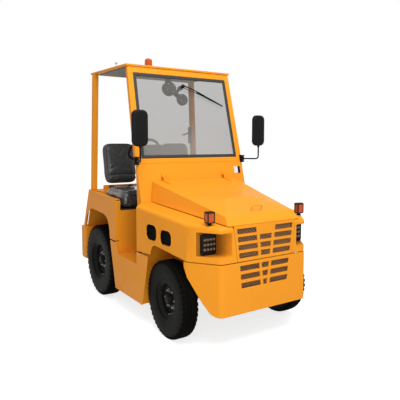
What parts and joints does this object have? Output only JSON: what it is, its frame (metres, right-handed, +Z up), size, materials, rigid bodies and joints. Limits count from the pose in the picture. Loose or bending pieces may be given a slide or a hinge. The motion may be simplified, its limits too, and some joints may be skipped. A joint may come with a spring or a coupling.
{
  "type": "airport baggage tug",
  "caption": "Open-sided airport baggage tug with hinged hood, windscreen, thin roof, side by side seats, steered front wheels and a stepped tow hitch.",
  "frame": {"origin": "on the ground, under the middle of the vehicle's width and length", "axes": "+Z up, +Y from the nose to the tow hitch, +X from the driver's side to the other"},
  "size_m": [1.412, 2.334, 2.2463],
  "materials": {
    "body_paint": "gloss",
    "dark_metal": "satin",
    "engine_iron": "matte",
    "wheel_paint": "satin",
    "tyre_rubber": "matte",
    "black_plastic": "matte",
    "seal_rubber": "matte",
    "seat_vinyl": "satin",
    "screen_glass": "clear",
    "amber_lens": "gloss",
    "red_lens": "gloss"
  },
  "bodies": {
    "chassis": {"front_bumper": "body_paint", "grille_panel": "body_paint", "front_fenders": "body_paint", "cowl_panel": "body_paint", "windscreen_frame": "body_paint", "roof_panel": "body_paint", "rear_posts": "body_paint", "side_plates": "body_paint", "bench_sheet": "body_paint", "rear_deck": "body_paint", "rear_fenders": "body_paint", "rear_block": "body_paint", "floor_and_wheelhouses": "body_paint", "chassis_frame": "dark_metal", "front_axle": "dark_metal", "rear_axle": "dark_metal", "tow_hitch": "dark_metal", "hinge_brackets": "dark_metal", "seat_frames": "dark_metal", "engine_block": "engine_iron", "grille_mesh": "black_plastic", "dashboard": "black_plastic", "driver_controls": "black_plastic", "wiper_motor": "black_plastic", "front_lamps": "black_plastic", "windscreen_seal": "seal_rubber", "seat_cushions": "seat_vinyl", "seat_backs": "seat_vinyl", "windscreen_glass": "screen_glass", "beacon_and_aerials": "amber_lens", "tail_lamps": "red_lens"},
    "hood": {"hood_panel": "body_paint", "hood_fittings": "body_paint"},
    "knuckle_right": {"knuckle_right": "dark_metal"},
    "knuckle_left": {"knuckle_left": "dark_metal"},
    "tie_rod": {"tie_rod": "dark_metal"},
    "wheel_front_right": {"wheel_front_right": "wheel_paint", "tyre_front_right": "tyre_rubber"},
    "wheel_front_left": {"wheel_front_left": "wheel_paint", "tyre_front_left": "tyre_rubber"},
    "wheel_rear_right": {"wheel_rear_right": "wheel_paint", "tyre_rear_right": "tyre_rubber"},
    "wheel_rear_left": {"wheel_rear_left": "wheel_paint", "tyre_rear_left": "tyre_rubber"},
    "steering_wheel": {"steering_wheel": "black_plastic"},
    "mirror_right": {"mirror_right": "black_plastic"},
    "mirror_left": {"mirror_left": "black_plastic"},
    "wiper": {"wiper": "black_plastic"}
  },
  "joints": [
    {"name": "steer_right", "type": "hinge", "parent": "chassis", "child": "knuckle_right", "pos_m": [-0.448, -0.694, 0.3], "axis": [0, 0, 1], "range_deg": [-30, 30]},
    {"name": "steer_left", "type": "hinge", "parent": "chassis", "child": "knuckle_left", "pos_m": [0.448, -0.694, 0.3], "axis": [0, 0, 1], "range_deg": [-30, 30]},
    {"name": "tie_rod_pivot", "type": "hinge", "parent": "knuckle_right", "child": "tie_rod", "pos_m": [-0.448, -0.584, 0.286], "axis": [0, 0, 1], "range_deg": [-30, 30]},
    {"name": "spin_front_right", "type": "hinge", "parent": "knuckle_right", "child": "wheel_front_right", "pos_m": [-0.532, -0.694, 0.3], "axis": [1, 0, 0], "continuous": true},
    {"name": "spin_front_left", "type": "hinge", "parent": "knuckle_left", "child": "wheel_front_left", "pos_m": [0.532, -0.694, 0.3], "axis": [1, 0, 0], "continuous": true},
    {"name": "spin_rear_right", "type": "hinge", "parent": "chassis", "child": "wheel_rear_right", "pos_m": [-0.556, 0.602, 0.34], "axis": [1, 0, 0], "continuous": true},
    {"name": "spin_rear_left", "type": "hinge", "parent": "chassis", "child": "wheel_rear_left", "pos_m": [0.556, 0.602, 0.34], "axis": [1, 0, 0], "continuous": true},
    {"name": "steering_wheel_turn", "type": "hinge", "parent": "chassis", "child": "steering_wheel", "pos_m": [-0.368, 0.12, 1.417], "axis": [0, 0.6691, 0.7431], "range_deg": [-360, 360]},
    {"name": "hood_lift", "type": "hinge", "parent": "chassis", "child": "hood", "pos_m": [0, -0.182, 1.192], "axis": [-1, 0, 0], "range_deg": [0, 50]},
    {"name": "mirror_right_swing", "type": "hinge", "parent": "chassis", "child": "mirror_right", "pos_m": [-0.552, -0.15, 1.331], "axis": [0, 0, 1], "range_deg": [-70, 10]},
    {"name": "mirror_left_swing", "type": "hinge", "parent": "chassis", "child": "mirror_left", "pos_m": [0.552, -0.15, 1.331], "axis": [0, 0, 1], "range_deg": [-25, 55]},
    {"name": "wiper_sweep", "type": "hinge", "parent": "chassis", "child": "wiper", "pos_m": [-0.009, 0.044, 1.992], "axis": [0, -0.9697, 0.2443], "range_deg": [-120, 0]}
  ],
  "couplings": [
    {"joint": "steer_left", "follows": "steer_right", "ratio": 1},
    {"joint": "tie_rod_pivot", "follows": "steer_right", "ratio": -1},
    {"joint": "steering_wheel_turn", "follows": "steer_right", "ratio": 12}
  ]
}
